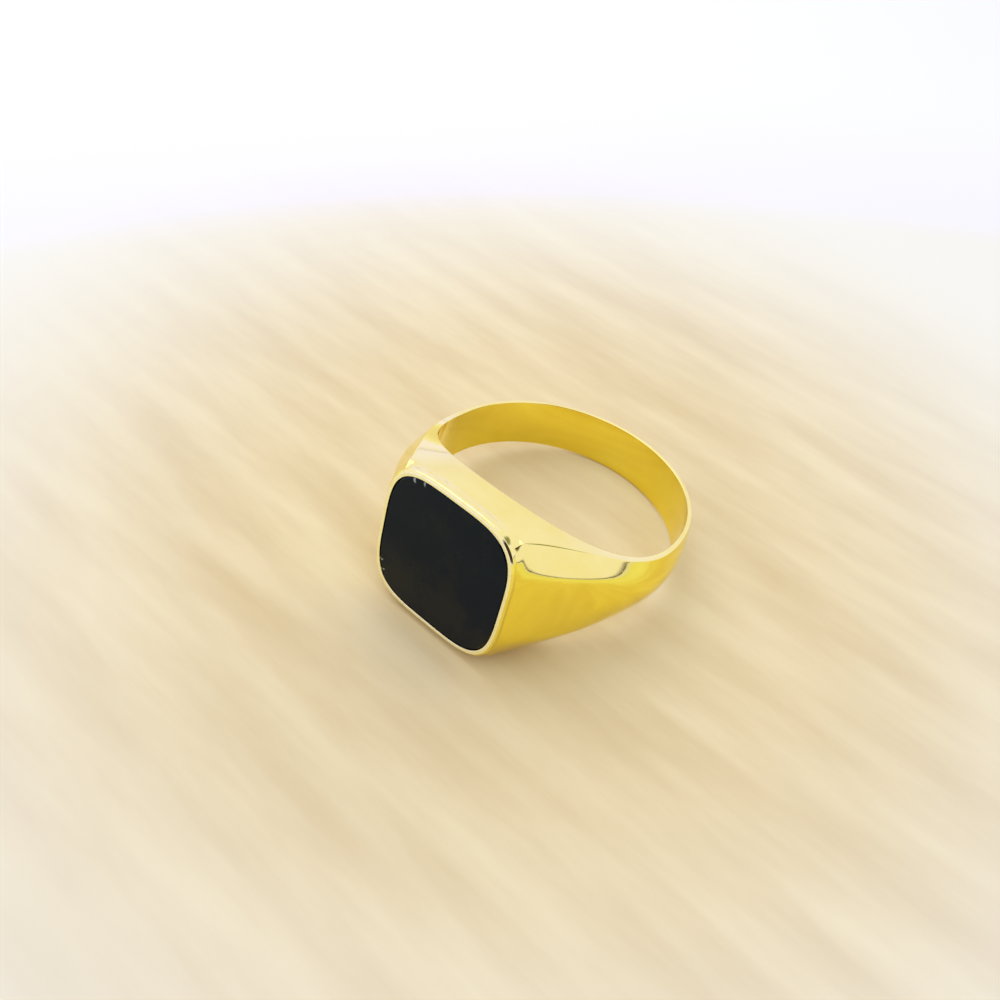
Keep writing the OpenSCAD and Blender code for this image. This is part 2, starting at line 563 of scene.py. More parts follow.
@dataclass
class HeadPiece:
    """The head's block with both shoulders: walls, top and bottom faces, the finger hole and the pocket.

    Attributes:
        form: The ring's sizes.
        polish: The rounding of its edges.
        shoulder_steps: Sections along each shoulder.
        front_steps: Sections across each half of the head's front.
        wall_steps: Steps up the wall.
        top_steps: Steps across the top face.
        hole_steps: Steps up the finger hole.
        step_growth: How much closer the sections lie near the head, where 1 is even.
        wall_round: Share of the wall's steps that lies between its rounded edges.
        top_round: Shares of the top face's steps at which its two rounded edges end and start.
        crease_most: Most of the top face that its outer edge may round off.
        pocket_depth: Depth of the stone's pocket, in millimetres.
        ledge: Width of the ledge under the stone tray, in millimetres.
        hollow_depth: Depth of the hollow under it, in millimetres.
        smooth_below: Edges flatter than this many degrees are shaded smooth.
    """

    form: RingForm
    polish: Polish
    shoulder_steps: int = 84
    front_steps: int = 15
    wall_steps: int = 56
    top_steps: int = 30
    hole_steps: int = 12
    step_growth: float = 1.4
    wall_round: float = 0.9
    top_round: Pair = (0.22, 0.86)
    crease_most: float = 0.5
    pocket_depth: float = 1.25
    ledge: float = 0.6
    hollow_depth: float = 0.8
    smooth_below: float = 35.0

    def crease(self, k: float) -> tuple[Vector, Vector, Vector]:
        """Return the three points that the rounding of the outer edge hangs on.

        Args:
            k: The section, from 0 at the middle of the head to 1 at the joint.

        Returns:
            Where the rounding starts on the wall, the sharp corner, and where it stops on the top face.
        """
        t = self.form.along(k)
        radius = self.polish.at(t)
        corner = self.form.top_point(k, 0)
        if radius <= 0:
            return corner, corner, corner
        wall_unit = stretch(self.form.wall_point(t, 1 - EDGE_STEP), corner)
        top_unit = stretch(self.form.top_point(k, EDGE_STEP), corner)
        before = self.form.wall_point(t, 1 - radius / wall_unit)
        after = self.form.top_point(k, min(radius / top_unit, self.crease_most))
        return before, corner, after

    def lip(self, k: float) -> tuple[Vector, Vector, Vector]:
        """Return the same three points for the edge of the finger hole.

        Args:
            k: The section, from 0 at the middle of the head to 1 at the joint.

        Returns:
            Where the rounding starts on the top face, the sharp corner, and where it stops in the hole.
        """
        corner = self.form.top_point(k, 1)
        unit = stretch(self.form.top_point(k, 1 - EDGE_STEP), corner)
        before = self.form.top_point(k, 1 - self.polish.hole / unit)
        return before, corner, corner - Vector((0, 0, self.polish.hole))

    def wall(self, t: float, v: float) -> Vector:
        """Return a point of the wall with its edges rounded.

        Args:
            t: How far along the shoulder, from 0 to 1.
            v: Place up the wall, from -1 at its lower edge to 1 at its upper edge.

        Returns:
            The point.
        """
        size = abs(v)
        before, corner, after = self.crease(mix(self.form.front_share, 1, t))
        if size > self.wall_round:
            point = rounded(before, corner, after, 0.5 * (size - self.wall_round) / (1 - self.wall_round))
        else:
            radius = self.polish.at(t)
            unit = stretch(self.form.wall_point(t, 1 - EDGE_STEP), corner)
            point = self.form.wall_point(t, (1 - radius / unit) * size / self.wall_round)
        return Vector((point.x, point.y, math.copysign(point.z, v)))

    def top(self, k: float, u: float) -> Vector:
        """Return a point of the top face with its edges rounded.

        Args:
            k: The section, from 0 at the middle of the head to 1 at the joint.
            u: Place across the face, from 0 at the wall to 1 at the finger hole.

        Returns:
            The point.
        """
        first, last = self.top_round
        before, corner, after = self.crease(k)
        low, edge, high = self.lip(k)
        if u < first:
            return rounded(before, corner, after, 0.5 + 0.5 * u / first)
        if u > last:
            return rounded(low, edge, high, 0.5 * (u - last) / (1 - last))
        inner = polar(self.form.bore_r, self.form.joint * k)
        rail = self.form.edge_rail(self.form.along(k))
        whole = (inner - rail).length
        start = (after - corner).xy.length / whole
        stop = 1 - (low - edge).xy.length / whole
        return self.form.top_point(k, mix(start, stop, (u - first) / (last - first)))

    def hole(self, k: float, w: float) -> Vector:
        """Return a point of the finger hole's wall.

        Args:
            k: The section, from 0 at the middle of the head to 1 at the joint.
            w: Place up the hole, from -1 to 1.

        Returns:
            The point.
        """
        low, edge, high = self.lip(k)
        if abs(w) > self.wall_round:
            point = rounded(low, edge, high, mix(1, 0.5, (abs(w) - self.wall_round) / (1 - self.wall_round)))
        else:
            point = Vector((high.x, high.y, high.z * abs(w) / self.wall_round))
        return Vector((point.x, point.y, math.copysign(point.z, w)))

    def carve(self, bench: MeshBench) -> None:
        """Close the ends and sink the stone's pocket and the hollow under it.

        Args:
            bench: The mesh being built.
        """
        form = self.form
        for face in bench.close():
            if abs(face.calc_center_median().x - form.deck_x) > WELD:
                continue
            bmesh.ops.inset_region(bench.bm, faces=[face], thickness=form.rim_flat + form.rim_bevel,
                                   use_even_offset=True)
            for depth, ledge in ((self.pocket_depth, self.ledge), (self.hollow_depth, 0)):
                wall = bmesh.ops.extrude_discrete_faces(bench.bm, faces=[face])
                face = wall["faces"][0]
                bmesh.ops.translate(bench.bm, vec=Vector((-depth, 0, 0)), verts=face.verts)
                if ledge:
                    bmesh.ops.inset_region(bench.bm, faces=[face], thickness=ledge, use_even_offset=True)

    def build(self, lie: Matrix, material: bpy.types.Material) -> bpy.types.Object:
        """Build the head.

        Args:
            lie: Matrix from the ring's own axes to the table.
            material: Its finish.

        Returns:
            The finished head.
        """
        bench = MeshBench("head_gold", Slot.GOLD, ("head",))
        steps = self.front_steps + self.shoulder_steps
        form = self.form

        def share(a: float) -> float:
            """Return a section, with the head's front kept apart from the shoulder.

            Args:
                a: How far along the grid, from 0 to 1.

            Returns:
                The section, from 0 at the middle of the head to 1 at the joint.
            """
            front = self.front_steps / steps
            if a <= front:
                return form.front_share * a / front
            return mix(form.front_share, 1, ((a - front) / (1 - front)) ** self.step_growth)

        for side in (1, -1):
            bench.sheet(self.shoulder_steps, self.wall_steps,
                        lambda a, b: self.on_side(self.wall(a**self.step_growth, 2 * b - 1), side, 1))
            for height in (1, -1):
                bench.sheet(steps, self.top_steps,
                            lambda a, b: self.on_side(self.top(share(a), b), side, height))
            bench.sheet(steps, self.hole_steps,
                        lambda a, b: self.on_side(self.hole(share(a), 2 * b - 1), side, 1))
        bench.weld()
        self.carve(bench)
        return bench.finish(lie, material, self.smooth_below)

    @staticmethod
    def on_side(point: Vector, side: int, height: int) -> Vector:
        """Return a point on the other side or underneath when a sign is -1."""
        return Vector((point.x, point.y * side, point.z * height))


@dataclass
class ShankPiece:
    """The plain band that closes the ring behind the shoulders.

    Attributes:
        form: The ring's sizes.
        polish: The rounding of its edges.
        outer_steps: Steps from mid height to the outer edge.
        round_steps: Steps round each edge.
        turn_steps: Steps round the finger hole.
        smooth_below: Edges flatter than this many degrees are shaded smooth.
    """

    form: RingForm
    polish: Polish
    outer_steps: int = 40
    round_steps: int = 5
    turn_steps: int = 150
    smooth_below: float = 35.0

    def outline(self) -> list[Vector]:
        """Return the band's section, once round, in radius and height."""
        form, half = self.form, self.form.shank_w / 2
        outer, edge = form.bore_r + form.shank_t, form.bore_r + form.shank_edge_t
        cut, lip = self.polish.at(1), self.polish.hole

        def dome(v: float) -> Vector:
            """Return a point of the domed outer face."""
            return Vector((mix(outer, edge, form.dome_drop(v)), 0, v * half))

        def turned(before: Vector, edge: Vector, after: Vector) -> list[Vector]:
            """Return the points that round off an edge."""
            return [rounded(before, edge, after, i / self.round_steps) for i in range(self.round_steps + 1)]

        corner = dome(1)
        inside = Vector((form.bore_r, 0, half))
        reach = 1 - cut / stretch(dome(1 - EDGE_STEP), corner)
        upper = [dome(reach * i / self.outer_steps) for i in range(self.outer_steps)]
        upper += turned(dome(reach), corner, corner - Vector((cut, 0, 0)))
        upper += turned(inside + Vector((lip, 0, 0)), inside, inside - Vector((0, 0, lip)))
        lower = [Vector((p.x, 0, -p.z)) for p in upper if p.z > 0]
        return upper + lower[::-1]

    def build(self, lie: Matrix, material: bpy.types.Material) -> bpy.types.Object:
        """Build the shank.

        Args:
            lie: Matrix from the ring's own axes to the table.
            material: Its finish.

        Returns:
            The finished shank.
        """
        bench = MeshBench("shank_gold", Slot.GOLD, ("shank",))
        verts = [bench.bm.verts.new(p) for p in self.outline()]
        edges = [bench.bm.edges.new((v, verts[i - 1])) for i, v in enumerate(verts)]
        turn = Matrix.Rotation(math.radians(self.form.joint), 4, "Z")
        bmesh.ops.transform(bench.bm, matrix=turn, verts=verts)
        bmesh.ops.spin(bench.bm, geom=verts + edges, cent=Vector(), axis=Vector((0, 0, 1)),
                       angle=math.radians(360 - 2 * self.form.joint), steps=self.turn_steps)
        bench.close()
        return bench.finish(lie, material, self.smooth_below)


@dataclass
class RimPiece:
    """The gold rim round the stone: a flat stripe level with the stone, and a bevel outside it.

    Attributes:
        form: The ring's sizes.
        around: Steps round the stone.
        edge_round: Rounding of its edges, in millimetres.
        round_steps: Steps round each edge.
        sharper_than: Least angle of an edge that is rounded, in degrees.
        smooth_below: Edges flatter than this many degrees are shaded smooth.
        BRUSHED_AND_PAINTED_HIGHLIGHT: Name of the value that marks the flat stripe, which the rim's finish
            roughens and paints with a painted highlight.
    """

    form: RingForm
    around: int = 360
    edge_round: float = 0.03
    round_steps: int = 3
    sharper_than: float = 30.0
    smooth_below: float = 50.0

    BRUSHED_AND_PAINTED_HIGHLIGHT: ClassVar[str] = "brushed_and_painted_highlight"

    def build(self, lie: Matrix, material: bpy.types.Material) -> bpy.types.Object:
        """Build the rim.

        Args:
            lie: Matrix from the ring's own axes to the table.
            material: Its finish.

        Returns:
            The finished rim.
        """
        form = self.form
        inner, outer = form.pocket_half, form.head_half
        rim = form.grown(inner, form.rim_flat)
        section = ((inner, form.deck_x), (outer, form.deck_x), (outer, form.face_x - form.rim_bevel),
                   (rim, form.face_x), (inner, form.face_x), (inner, form.deck_x))
        bench = MeshBench("bezel_rim_gold", Slot.GOLD, ("bezel_rim",))

        def place(turn: float, share: float) -> Vector:
            """Return a point of the rim, for two shares from 0 to 1."""
            half, level = section[round(share * (len(section) - 1))]
            return Vector((level, *form.cushion(half, turn)))

        bench.sheet(self.around, len(section) - 1, place)
        bench.weld()
        bench.soften(self.edge_round, self.round_steps, self.sharper_than,
                     lambda edge: min(vert.co.x for vert in edge.verts) > form.deck_x + WELD)
        # The mark sets the stripe's roughness and its painted highlight.
        bench.mark(self.BRUSHED_AND_PAINTED_HIGHLIGHT, lambda point: float(point.x > form.face_x - self.edge_round / 2))
        return bench.finish(lie, material, self.smooth_below)


@dataclass(frozen=True)
class Chip:
    """A small chip out of the stone's edge.

    Attributes:
        turn: How far round the outline, from 0 to 1.
        width: Its width along the edge, in millimetres.
        depth: How deep it bites, in millimetres.
    """

    turn: float
    width: float
    depth: float


@dataclass
class StonePiece:
    """The flat onyx tablet, with a fine bevel and a few chips along its edge.

    Attributes:
        form: The ring's sizes.
        thickness: Its thickness, in millimetres.
        bevel: Width and height of its bevel, in millimetres.
        around: Steps round the outline.
        bevel_steps: Steps across the bevel.
        margin: Width of the strip of its face inside the bevel, in millimetres.
        marked: Share of that strip over which a chip's mark may reach.
        chips: Its chips.
        smooth_below: Edges flatter than this many degrees are shaded smooth.
        CHIPPED: Name of the value that marks the chips.
    """

    form: RingForm
    thickness: float = 1.2
    bevel: float = 0.12
    around: int = 720
    bevel_steps: int = 4
    margin: float = 0.25
    marked: float = 0.8
    chips: tuple[Chip, ...] = (
        Chip(0.33, 0.4, 0.12),
        Chip(0.295, 0.25, 0.06),
        Chip(0.565, 0.28, 0.1),
        Chip(0.6, 0.28, 0.1),
    )
    smooth_below: float = 30.0

    CHIPPED: ClassVar[str] = "chipped"

    def bite(self, turn: float) -> float:
        """Return how far the chips cut the edge back.

        Args:
            turn: How far round the outline, from 0 to 1.

        Returns:
            The cut, in millimetres.
        """
        reach = math.tau * self.form.stone_half[0]
        deep = 0.0
        for chip in self.chips:
            off = abs((turn - chip.turn + 0.5) % 1 - 0.5) * reach / chip.width
            deep = max(deep, chip.depth * (1 - ease(off * 2)))
        return deep

    def turn_of(self, point: Vector) -> float:
        """Return how far round the outline a point lies.

        Args:
            point: The point, in the ring's own axes.

        Returns:
            The turn, from 0 to 1.
        """
        power = self.form.squareness / 2
        c, s = (math.copysign(abs(place / half) ** power, place)
                for place, half in zip((point.y, point.z), self.form.stone_half))
        return math.atan2(s, c) / math.tau % 1

    def inward(self, point: Vector) -> float:
        """Return how far inside the stone's outline a point lies, in millimetres.

        Args:
            point: The point, in the ring's own axes.

        Returns:
            The distance, which is 0 on the outline.
        """
        power, half = self.form.squareness, self.form.stone_half
        level = sum(abs(place / size) ** power for place, size in zip((point.y, point.z), half))
        return half[0] * (1 - level ** (1 / power))

    def chipped(self, point: Vector) -> float:
        """Return how much of a point lies in a chip.

        Args:
            point: The point, in the ring's own axes.

        Returns:
            The share, from 0 to 1.
        """
        below = point.x < self.form.face_x - self.thickness / 2
        if below or self.inward(point) > self.bevel + self.marked * self.margin:
            return 0.0
        return min(2 * self.bite(self.turn_of(point)) / max(chip.depth for chip in self.chips), 1.0)

    def build(self, lie: Matrix, material: bpy.types.Material) -> bpy.types.Object:
        """Build the stone.

        Args:
            lie: Matrix from the ring's own axes to the table.
            material: Its finish.

        Returns:
            The finished stone.
        """
        form = self.form
        base = form.face_x - self.thickness
        inset = self.bevel + self.margin
        bench = MeshBench("onyx_tablet_stone", Slot.ONYX, ("onyx_tablet",))
        rows = self.bevel_steps + 2

        def place(turn: float, share: float) -> Vector:
            """Return a point of the stone's side, its bevel or the edge of its face.

            Args:
                turn: How far round the outline, from 0 to 1.
                share: How far up the rows, from 0 to 1.

            Returns:
                The point.
            """
            row = round(share * rows)
            if row == 0:
                return Vector((base, *form.cushion(form.stone_half, turn)))
            if row == rows:
                return Vector((form.face_x, *form.cushion(form.grown(form.stone_half, -inset), turn)))
            part = (row - 1) / self.bevel_steps
            bite = self.bite(turn)
            half = form.grown(form.stone_half, -self.bevel * part - bite * part)
            level = form.face_x - self.bevel * (1 - part) - bite * (1 - part)
            return Vector((level, *form.cushion(half, turn)))

        bench.sheet(self.around, rows, place)
        bench.weld()
        bench.mark(self.CHIPPED, self.chipped)
        bench.close()
        return bench.finish(lie, material, self.smooth_below)


@dataclass(frozen=True)
class Pattern:
    """A noise pattern.

    Attributes:
        scale: Features per metre.
        layers: Number of its finer layers.
        strength: Strength of those layers.
        span: Least and most of the pattern that counts.
        along: Scale along each axis, for a drawn-out pattern.
    """

    scale: float
    layers: float
    strength: float
    span: Pair = (0.3, 0.7)
    along: Triple | None = None


@dataclass(frozen=True)
class Gold:
    """Polished yellow gold with a soft hand polish.

    Attributes:
        light: Colour of the well polished areas.
        deep: Colour of the duller areas.
        roughness: Lowest and highest roughness.
        clouds: The polish clouds.
        hairs: The polishing hairlines.
        hair_strength: How much of the hairlines shows.
        hair_depth: Their depth, in metres.
    """

    light: Colour = (0.96, 0.81, 0.11, 1)
    deep: Colour = (0.92, 0.75, 0.08, 1)
    roughness: Pair = (0.03, 0.08)
    clouds: Pattern = Pattern(260.0, 3, 0.55, span=(0.3, 0.62))
    hairs: Pattern = Pattern(5200.0, 2, 0.6, along=(0.12, 0.12, 1.0))
    hair_strength: float = 0.12
    hair_depth: float = 0.000002

    def build(self, name: str) -> bpy.types.Material:
        """Mix the gold.

        Args:
            name: The material's name.

        Returns:
            The material.
        """
        tree = NodeTree(name)
        hairs = tree.noise(self.hairs)
        tree.colour(tree.ramp(tree.noise(self.clouds), self.clouds.span, (self.deep, self.light)))
        tree.roughness(hairs, self.hairs.span, self.roughness)
        tree.bump(hairs, self.hair_strength, self.hair_depth)
        tree.shader.inputs["Metallic"].default_value = 1.0
        return tree.material


@dataclass(frozen=True)
class RimGold:
    """Polished gold with a stripe of fine brushing where the mesh is marked, painted paler there as a painted
    highlight.

    Attributes:
        polished: Colour of the bevel.
        bright: Its colour where it is least worn.
        brushed_and_painted_highlight: Colour of the stripe, a painted highlight: pale gold that stands for the
            bright sky mirrored in it.
        roughness: Roughness of the bevel and the stripe.
        patches: The worn patches.
        wear: Least and most of the stripe's brushing and painted highlight that is left.
    """

    polished: Colour = (0.95, 0.8, 0.1, 1)
    bright: Colour = (0.97, 0.84, 0.14, 1)
    brushed_and_painted_highlight: Colour = (1.0, 0.95, 0.36, 1)
    roughness: Pair = (0.05, 0.55)
    patches: Pattern = Pattern(1500.0, 3, 0.6, span=(0.3, 0.6))
    wear: Pair = (0.8, 1.0)

    def build(self, name: str) -> bpy.types.Material:
        """Mix the rim's gold.

        Args:
            name: The material's name.

        Returns:
            The material.
        """
        tree = NodeTree(name)
        worn = tree.ranged(tree.noise(self.patches), self.patches.span, self.wear)
        stripe = tree.joined("MULTIPLY", tree.carried(RimPiece.BRUSHED_AND_PAINTED_HIGHLIGHT), worn)
        polish = tree.ramp(worn, self.wear, (self.polished, self.bright))
        # Painted highlight: the marked stripe is laid over in pale gold, standing for the bright sky that it
        # mirrors.
        tree.colour(tree.laid_over(stripe, polish, self.brushed_and_painted_highlight))
        tree.roughness(stripe, (0, 1), self.roughness)
        tree.shader.inputs["Metallic"].default_value = 1.0
        return tree.material


@dataclass(frozen=True)
class Onyx:
    """Polished black onyx with faint clouds, chips and specks, and a painted reflection: teal black above,
    olive black below.

    Attributes:
        deep: Colour of its upper part: near black with a teal painted reflection.
        olive: Colour of its lower part: near black with an olive painted reflection.
        broken: Colour of the chips and specks.
        levels: Heights between which the two tints of the painted reflection blend, in metres.
        blend: Least and most of that blend that counts.
        clouds: The clouds.
        cloud_reach: How far the clouds shift the blend.
        roughness: Lowest and highest roughness.
        speck_scale: Closeness of the specks, per metre.
        speck_size: Size of a speck, as a share of their spacing.
        refraction: Refractive index.
        gloss: Strength of its reflections.
        glint: Tint of its reflections.
    """

    deep: Colour = (0.0005, 0.006, 0.0065, 1)
    olive: Colour = (0.011, 0.012, 0.006, 1)
    broken: Colour = (0.4, 0.42, 0.16, 1)
    levels: Pair = (0.006, 0.0015)
    blend: Pair = (0.1, 0.9)
    clouds: Pattern = Pattern(420.0, 5, 0.6)
    cloud_reach: float = 0.9
    roughness: Pair = (0.03, 0.09)
    speck_scale: float = 210.0
    speck_size: float = 0.012
    refraction: float = 1.54
    gloss: float = 0.1
    glint: Colour = (1.0, 1.0, 0.35, 1)

    def build(self, name: str) -> bpy.types.Material:
        """Mix the onyx.

        Args:
            name: The material's name.

        Returns:
            The material.
        """
        tree = NodeTree(name)
        clouds = tree.noise(self.clouds)
        shift = tree.ranged(clouds, self.clouds.span, (-self.cloud_reach / 2, self.cloud_reach / 2))
        # Painted reflection: teal black high on the stone turns to olive black low on it, by height over the
        # floor, shifted by the clouds.
        lowness = tree.joined("ADD", tree.ranged(tree.height(), self.levels, (0, 1)), shift)
        specks = tree.ranged(tree.spacing(self.speck_scale), (self.speck_size, 0), (0, 1))
        marks = tree.joined("MAXIMUM", tree.carried(StonePiece.CHIPPED), specks)
        body = tree.ramp(lowness, self.blend, (self.deep, self.olive))
        tree.colour(tree.laid_over(marks, body, self.broken))
        tree.roughness(clouds, self.clouds.span, self.roughness)
        tree.shader.inputs["IOR"].default_value = self.refraction
        tree.shader.inputs["Specular IOR Level"].default_value = self.gloss
        tree.shader.inputs["Specular Tint"].default_value = self.glint
        return tree.material


@dataclass(frozen=True)
class Cement:
    """Dull grainy setting cement.

    Attributes:
        dark: Colour between the grains.
        light: Colour of the grains.
        grain: The grain.
        grain_strength: How much of the grain stands out.
        grain_depth: Its depth, in metres.
        roughness: Its roughness.
    """

    dark: Colour = (0.02, 0.019, 0.017, 1)
    light: Colour = (0.07, 0.065, 0.06, 1)
    grain: Pattern = Pattern(3000.0, 6, 0.7, span=(0.35, 0.7))
    grain_strength: float = 0.5
    grain_depth: float = 0.00002
    roughness: float = 0.9

    def build(self, name: str) -> bpy.types.Material:
        """Mix the cement.

        Args:
            name: The material's name.

        Returns:
            The material.
        """
        tree = NodeTree(name)
        grain = tree.noise(self.grain)
        tree.colour(tree.ramp(grain, self.grain.span, (self.dark, self.light)))
        tree.bump(grain, self.grain_strength, self.grain_depth)
        tree.shader.inputs["Roughness"].default_value = self.roughness
        return tree.material


@dataclass(frozen=True)
class PaleFloor:
    """A pale matt floor with a faint long grain, warm round the ring and white further out.

    Attributes:
        low: Colour between the grain's streaks.
        high: Colour of the streaks.
        white: Colour further out.
        grain: The grain.
        whitening: Distances from the ring between which the floor turns white, in metres.
        cool: Colour furthest out, for the gold to mirror.
        cool_centre: Middle of the circle outside which the floor turns cool.
        cool_reach: Distances from that middle between which it does, in metres.
        roughness: Its roughness.
        gloss: Strength of its reflections.
    """

    low: Colour = (0.75, 0.58, 0.11, 1)
    high: Colour = (0.89, 0.75, 0.16, 1)
    white: Colour = (0.92, 0.89, 0.27, 1)
    grain: Pattern = Pattern(700.0, 4, 0.55, along=(0.35, 0.06, 1.0))
    whitening: Pair = (0.018, 0.065)
    cool: Colour = (0.95, 0.94, 0.75, 1)
    cool_centre: Triple = (0.08, 0.12, 0)
    cool_reach: Pair = (0.19, 0.23)
    roughness: float = 0.8
    gloss: float = 0.0

    def build(self, name: str) -> bpy.types.Material:
        """Mix the floor's paint.

        Args:
            name: The material's name.

        Returns:
            The material.
        """
        tree = NodeTree(name)
        near = tree.ramp(tree.noise(self.grain), self.grain.span, (self.low, self.high))
        pale = tree.ranged(tree.distance((0, 0, 0)), self.whitening, (0, 1))
        cold = tree.ranged(tree.distance(self.cool_centre), self.cool_reach, (0, 1))
        tree.colour(tree.laid_over(cold, tree.laid_over(pale, near, self.white), self.cool))
        tree.shader.inputs["Roughness"].default_value = self.roughness
        tree.shader.inputs["Specular IOR Level"].default_value = self.gloss
        return tree.material


class NodeTree:
    """A principled material whose patterns read Object coordinates."""

    def __init__(self, name: str) -> None:
        """Open a new material under a name."""
        self.material = bpy.data.materials.new(name)
        self.material.use_nodes = True
        self.nodes = self.material.node_tree.nodes
        self.links = self.material.node_tree.links
        self.shader = next(n for n in self.nodes if n.type == "BSDF_PRINCIPLED")
        self.coords = self.nodes.new("ShaderNodeTexCoord")

    def noise(self, pattern: Pattern) -> Socket:
        """Add a noise pattern.

        Args:
            pattern: Its sizes.

        Returns:
            The pattern's strength.
        """
        node = self.nodes.new("ShaderNodeTexNoise")
        node.inputs["Scale"].default_value = pattern.scale
        node.inputs["Detail"].default_value = pattern.layers
        node.inputs["Roughness"].default_value = pattern.strength
        source = self.coords.outputs["Object"]
        if pattern.along:
            mapping = self.nodes.new("ShaderNodeMapping")
            mapping.inputs["Scale"].default_value = pattern.along
            self.links.new(source, mapping.inputs["Vector"])
            source = mapping.outputs["Vector"]
        self.links.new(source, node.inputs["Vector"])
        return node.outputs["Fac"]

    def ramp(self, pattern: Socket, span: Pair, colours: tuple[Colour, Colour]) -> Socket:
        """Turn a pattern into colours.

        Args:
            pattern: The pattern's strength.
            span: Lowest and highest strength.
            colours: The colours of the two.

        Returns:
            The colour.
        """
        node = self.nodes.new("ShaderNodeValToRGB")
        for element, position, colour in zip(node.color_ramp.elements, span, colours):
            element.position = position
            element.color = colour
        self.links.new(pattern, node.inputs["Fac"])
        return node.outputs["Color"]

    def ranged(self, pattern: Socket, source: Pair, target: Pair) -> Socket:
        """Stretch a pattern from one range to another.

        Args:
            pattern: The pattern's strength.
            source: Lowest and highest strength.
            target: Lowest and highest value.

        Returns:
            The stretched value.
        """
        node = self.nodes.new("ShaderNodeMapRange")
        node.interpolation_type = "SMOOTHSTEP"
        node.inputs["From Min"].default_value, node.inputs["From Max"].default_value = source
        node.inputs["To Min"].default_value, node.inputs["To Max"].default_value = target
        self.links.new(pattern, node.inputs["Value"])
        return node.outputs["Result"]

    def height(self) -> Socket:
        """Return the height above the floor, in metres."""
        split = self.nodes.new("ShaderNodeSeparateXYZ")
        self.links.new(self.coords.outputs["Object"], split.inputs["Vector"])
        return split.outputs["Z"]

    def distance(self, centre: Triple) -> Socket:
        """Measure how far the surface lies from a point.

        Args:
            centre: The point, in metres.

        Returns:
            The distance, in metres.
        """
        node = self.nodes.new("ShaderNodeVectorMath")
        node.operation = "DISTANCE"
        node.inputs[1].default_value = centre
        self.links.new(self.coords.outputs["Object"], node.inputs[0])
        return node.outputs["Value"]

    def spacing(self, scale: float) -> Socket:
        """Measure how far the surface lies from the nearest of many scattered points.

        Args:
            scale: Points per metre.

        Returns:
            The distance, as a share of their spacing.
        """
        node = self.nodes.new("ShaderNodeTexVoronoi")
        node.inputs["Scale"].default_value = scale
        self.links.new(self.coords.outputs["Object"], node.inputs["Vector"])
        return node.outputs["Distance"]

    def carried(self, name: str) -> Socket:
        """Read a value that the mesh carries.

        Args:
            name: The value's name.

        Returns:
            The value.
        """
        node = self.nodes.new("ShaderNodeAttribute")
        node.attribute_name = name
        return node.outputs["Fac"]

    def joined(self, how: str, first: Socket, second: Socket) -> Socket:
        """Put two values together.

        Args:
            how: The operation.
            first: The first value.
            second: The second value.

        Returns:
            The result.
        """
        node = self.nodes.new("ShaderNodeMath")
        node.operation = how
        self.links.new(first, node.inputs[0])
        self.links.new(second, node.inputs[1])
        return node.outputs["Value"]

    def laid_over(self, share: Socket, under: Socket, over: Colour) -> Socket:
        """Lay a colour over a pattern's colour.

        Args:
            share: How much of it covers.
            under: The colour under it.
            over: The colour laid over it.

        Returns:
            The blended colour.
        """
        node = self.nodes.new("ShaderNodeMix")
        node.data_type = "RGBA"
        node.inputs[OVER].default_value = over
        self.links.new(share, node.inputs["Factor"])
        self.links.new(under, node.inputs[UNDER])
        return node.outputs[BLENDED]

    def colour(self, source: Socket) -> None:
        """Give the surface a colour."""
        self.links.new(source, self.shader.inputs["Base Color"])

    def roughness(self, pattern: Socket, source: Pair, target: Pair) -> None:
        """Roughen the surface by a pattern, from its own range to a range of roughness."""
        self.links.new(self.ranged(pattern, source, target), self.shader.inputs["Roughness"])

    def bump(self, pattern: Socket, strength: float, depth: float) -> None:
        """Raise the surface by a pattern.

        Args:
            pattern: The pattern's strength.
            strength: How much of the bump shows.
            depth: Its height, in metres.
        """
        node = self.nodes.new("ShaderNodeBump")
        node.inputs["Strength"].default_value = strength
        node.inputs["Distance"].default_value = depth
        self.links.new(pattern, node.inputs["Height"])
        self.links.new(node.outputs["Normal"], self.shader.inputs["Normal"])


@dataclass(frozen=True)
class Card:
    """A dark card in the tent, which the polished gold mirrors.

    Attributes:
        azimuth: Its direction round the ring, in degrees.
        elevation: Its direction above the floor, in degrees.
        inner: Half angle of its full shade, in degrees.
        outer: Half angle at which it ends, in degrees.
        shade: Its colour.
    """

    azimuth: float
    elevation: float
    inner: float
    outer: float
    shade: Colour

    @property
    def direction(self) -> Vector:
        """Direction from the ring to the card."""
        return towards(self.azimuth, self.elevation)


